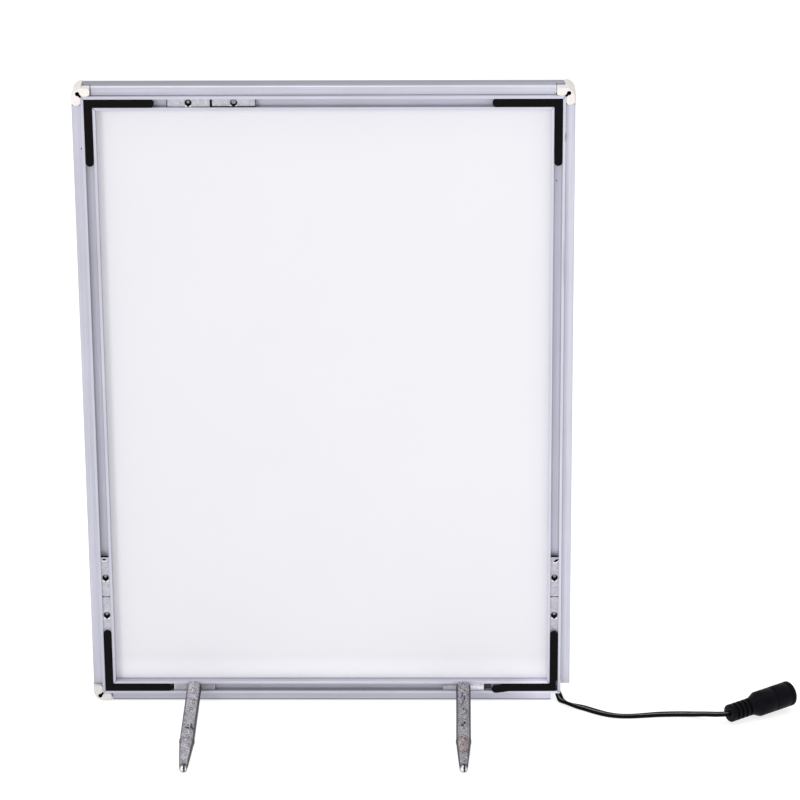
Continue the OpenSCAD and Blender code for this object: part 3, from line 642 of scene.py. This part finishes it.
# Painted shade: dark slabs in the gaps beside and under the plates in the top channel, and on the channel
# floor beside the leg plates
layered("gaps_top_second", "nut_top_second", "plate_steel", [
    (gap_dark, oblong(TOP_SECOND[0] - 0.75, TOP_SECOND[0], *TOP_MOUTH), *GAP_DEPTH),
    (gap_dark, oblong(*TOP_SECOND, 324.7, 325.1), *GAP_DEPTH),
    (gap_dark, oblong(TOP_SECOND[1] + 0.1, TOP_SECOND[1] + 0.4, *TOP_MOUTH), *GAP_DEPTH),
])
layered("gaps_top_first", "nut_top_first", "plate_steel", [
    (gap_dark, oblong(TOP_FIRST[0], TOP_FIRST[0] + 0.4, *TOP_MOUTH), *FACE_SHADE_DEPTH),
    (gap_dark, oblong(TOP_FIRST[0] + 0.4, TOP_FIRST[1], 324.7, 324.9), *FACE_SHADE_DEPTH),
])
layered("gaps_legs", "frame", "plate_steel", [
    (gap_dark, oblong(-83.2, -82.3, *FOOT_MOUTH), *FLOOR_SHADE_DEPTH),
    (hole_grey, oblong(79.7, 83.2, *FOOT_MOUTH), *FLOOR_SHADE_DEPTH),
])

# How far up the lit part of a tapped hole's wall is, and its radius
LIT_PATCH = {"top_first": (0.45, 0.75), "top_second": (0.5, 1.1)}
SIDE_LIT_PATCH = (0.85, 0.75)


def hole_details(short, middle, across, beside, axis):
    """Painted shade inside the tapped hole, a painted lit patch on its far wall, and below it a painted dark
    V between two painted glints.
    """
    def where(a, depth, b):
        return middle + (across * a + beside * b + axis * depth) * MM

    up, patch = LIT_PATCH.get(short, SIDE_LIT_PATCH)
    painted_shade_vee = [(-1.0, 0.95), (-1.3, 0.7), (-1.9, 0.0), (-1.3, -0.7), (-1.0, -0.95)]
    layers = [
        (gap_dark, arc((0, 0), 1.6, 0, 345, 23), 0.62, 0.66),
        (hole_lit, arc((up, 0), patch, 0, 345, 23), 0.68, 0.72),
        (gap_dark, painted_shade_vee, 1.06, 1.1),
    ]
    for k in (1, -1):
        glint = [(-1.0, 1.75 * k), (-1.3, 0.95 * k), (-2.05, 0.35 * k), (-2.15, 0.9 * k), (-1.7, 1.5 * k)]
        layers.append((glint_steel, glint, 1.06, 1.09))
    layered("hole_detail_" + short, "nut_" + short, "stud_steel", layers, where)


def threads():
    """Two turns of thread, dark as painted shade, in each spare nut plate's hole, and the hole's other
    details.
    """
    turns, per_turn, sides = 2, 20, 6
    helix_r, wire_r = 1.5, 0.14
    for mount in frame["record"]["mounts"]:
        if mount["kind"] != "threaded_hole":
            continue
        axis = Vector(mount["axis"]).normalized()
        across = axis.cross(Vector((1, 0, 0))).normalized()
        beside = axis.cross(across)
        middle = Vector(mount["pos_m"])
        length = mount["dims"]["length_mm"]
        mesh = bmesh.new()
        rings = []
        for i in range(turns * per_turn + 1):
            a = 2 * math.pi * i / per_turn
            out = across * math.cos(a) + beside * math.sin(a)
            centre = middle + (out * helix_r + axis * length * (i / (turns * per_turn) - 0.5) * 0.8) * MM
            rings.append([
                mesh.verts.new(centre + (out * math.cos(b) + axis * math.sin(b)) * wire_r * MM)
                for b in (2 * math.pi * k / sides for k in range(sides))
            ])
        for low, high in zip(rings, rings[1:]):
            for k in range(sides):
                mesh.faces.new((low[k], low[(k + 1) % sides], high[(k + 1) % sides], high[k]))
        mesh.faces.new(rings[0])
        mesh.faces.new(rings[-1])
        short = mount["name"].replace("_tapped_hole", "")
        finish_piece(mesh, "thread_" + short, gap_dark, "nut_" + short, "stud_steel").data.shade_smooth()
        hole_details(short, middle, across, beside, axis)


threads()

# Flat twin cord: two round cores side by side along the route, turned as it leaves the corner
CORD_ROUTE = [
    (115.9, 47.5, 8.45, 90), (116.4, 47.4, 7.1, 92), (117.2, 46.75, 5.15, 104), (118, 45.55, 3.5, 122),
    (118.7, 43.8, 2.25, 138), (119.2, 41.75, 1.5, 152), (119.7, 39.8, 1.25, 168), (120.6, 37.9, 1.25, 186),
    (122.2, 35.8, 1.3, 203), (125, 33.2, 1.3, 196), (128.4, 30.9, 1.2, 172), (132, 28.6, 1.15, 163),
    (136.6, 24.8, 1.15, 163), (142.8, 20.7, 1.1, 170), (149, 18.8, 1, 176), (155.4, 18.6, 1, 177),
    (162, 19.4, 1.05, 172), (168.8, 20.4, 1.15, 166), (176, 20.8, 1.2, 162), (182.4, 20.8, 1.25, 162),
    (187.4, 19.7, 1.65, 162), (192.1, 16.8, 2.9, 163), (195.6, 13.9, 4.05, 164), (198.6, 11.9, 4.8, 166),
    (201.8, 10.6, 5.42, 169), (205, 10.3, 5.72, 172),
]
CORD_W = 3.5
CORD_T = 1.75
CORD_STEPS = 6
SOCKET_YAW = math.radians(33)
SOCKET_TILT = math.radians(4)
SOCKET_WAY = Vector((
    math.cos(SOCKET_TILT) * math.cos(SOCKET_YAW),
    math.cos(SOCKET_TILT) * math.sin(SOCKET_YAW),
    math.sin(SOCKET_TILT),
))


def smooth_route(route, steps):
    points = [Vector(p) for p in route]
    found = []
    for i in range(len(points) - 1):
        a, b, c, d = (points[max(0, min(len(points) - 1, i + k))] for k in (-1, 0, 1, 2))
        for k in range(steps):
            t = k / steps
            first = t / 2 * (c - a)
            second = t * t * (a - 2.5 * b + 2 * c - d / 2)
            third = t ** 3 * (1.5 * (b - c) + (d - a) / 2)
            found.append(b + first + second + third)
    return found + [points[-1]]


def cord_section(sides=10):
    """Outline of two round cores that run into each other, as (across, up)."""
    reach = (CORD_W - CORD_T) / 2
    radius = CORD_T / 2
    outline = []
    for side in (1, -1):
        start = -125 if side > 0 else 55
        for k in range(sides + 1):
            a = math.radians(start + 250 * k / sides)
            outline.append((side * reach + radius * math.cos(a), radius * math.sin(a)))
    return outline


def make_cord():
    points = smooth_route(CORD_ROUTE, CORD_STEPS)
    section = cord_section()
    mesh = bmesh.new()
    rings = []
    for i, p in enumerate(points):
        way = (points[min(len(points) - 1, i + 1)] - points[max(0, i - 1)]).to_3d().normalized()
        if i == len(points) - 1:
            way = SOCKET_WAY
        level = way.cross(Vector((0, 0, 1))).normalized()
        rise = level.cross(way)
        turn = math.radians(p[3])
        wide = level * math.cos(turn) + rise * math.sin(turn)
        thin = rise * math.cos(turn) - level * math.sin(turn)
        rings.append([mesh.verts.new((p.to_3d() + wide * x + thin * y) * MM) for x, y in section])
    count = len(section)
    # The web faces take the paler material, a painted highlight along the valley between the cores
    webs = (count // 2 - 1, count - 1)
    for low, high in zip(rings, rings[1:]):
        for k in range(count):
            face = mesh.faces.new((low[k], low[(k + 1) % count], high[(k + 1) % count], high[k]))
            face.material_index = 1 if k in webs else 0
    mesh.faces.new(reversed(rings[0]))
    mesh.faces.new(rings[-1])
    bmesh.ops.recalc_face_normals(mesh, faces=mesh.faces)
    data = bpy.data.meshes.new("twin_cord")
    mesh.to_mesh(data)
    mesh.free()
    data.shade_smooth()
    obj = bpy.data.objects.new("twin_cord", data)
    scene.collection.objects.link(obj)
    path = [p.to_3d() * MM for p in points]
    length = sum((b - a).length for a, b in zip(path, path[1:]))
    return obj, path, length


cord, cord_path, cord_length = make_cord()
cord.data.materials.append(plain(
    "cord_black", (0.004, 0.004, 0.005), (0.003, 0.003, 0.004), 0.45, 1.0, 0.02, 0.1, Specular_IOR_Level=0.04
))
# Paler, glossier web between the cores: a painted highlight
cord.data.materials.append(plain(
    "cord_web", (0.22, 0.22, 0.24), (0.08, 0.08, 0.09), 0.3, 0.6, 0.02, 0.1, Specular_IOR_Level=0.5
))
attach(cord, "frame")
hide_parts("power_cord")

# Pale floor, soft light
floor_data = bpy.data.meshes.new("floor")
reach = 30.0
floor_data.from_pydata(
    [(-reach, -reach, 0), (reach, -reach, 0), (reach, reach, 0), (-reach, reach, 0)], [], [(0, 1, 2, 3)]
)
floor = bpy.data.objects.new("floor", floor_data)
floor.location.z = -0.00005
scene.collection.objects.link(floor)
floor_look = Nodes("floor_white", Roughness=0.9, Specular_IOR_Level=0.1, Emission_Strength=0.75)
floor_look.shader.inputs["Base Color"].default_value = (0.45, 0.45, 0.45, 1)
floor_look.shader.inputs["Emission Color"].default_value = (1.0, 1.0, 1.0, 1)
floor.data.materials.append(floor_look.material)


def make_sky(level, overhead):
    """Even light all round, a little stronger overhead."""
    world = bpy.data.worlds.new("soft_sky")
    world.use_nodes = True
    scene.world = world
    tree = world.node_tree
    coord = tree.nodes.new("ShaderNodeTexCoord")
    split = tree.nodes.new("ShaderNodeSeparateXYZ")
    fall = tree.nodes.new("ShaderNodeMapRange")
    for key, value in (("From Min", 0.0), ("From Max", 0.9), ("To Min", level), ("To Max", overhead)):
        fall.inputs[key].default_value = value
    tree.links.new(coord.outputs["Generated"], split.inputs["Vector"])
    tree.links.new(split.outputs["Z"], fall.inputs["Value"])
    tree.links.new(fall.outputs["Result"], tree.nodes["Background"].inputs["Strength"])
    tree.nodes["Background"].inputs["Color"].default_value = (1.0, 1.0, 1.0, 1.0)


make_sky(0.55, 0.85)


def area_light(name, at, aim, size, power):
    data = bpy.data.lights.new(name, "AREA")
    data.shape = "DISK"
    data.size = size
    data.energy = power
    obj = bpy.data.objects.new(name, data)
    obj.location = at
    obj.rotation_euler = (Vector(aim) - Vector(at)).to_track_quat("-Z", "Y").to_euler()
    scene.collection.objects.link(obj)


area_light("key", (-1.6, -2.2, 1.17), (0, 0, 0.17), 0.8, 18.0)
area_light("overhead", (0.1, -0.5, 2.3), (0, 0, 0.2), 0.7, 5.0)
scene.view_settings.view_transform = "Standard"
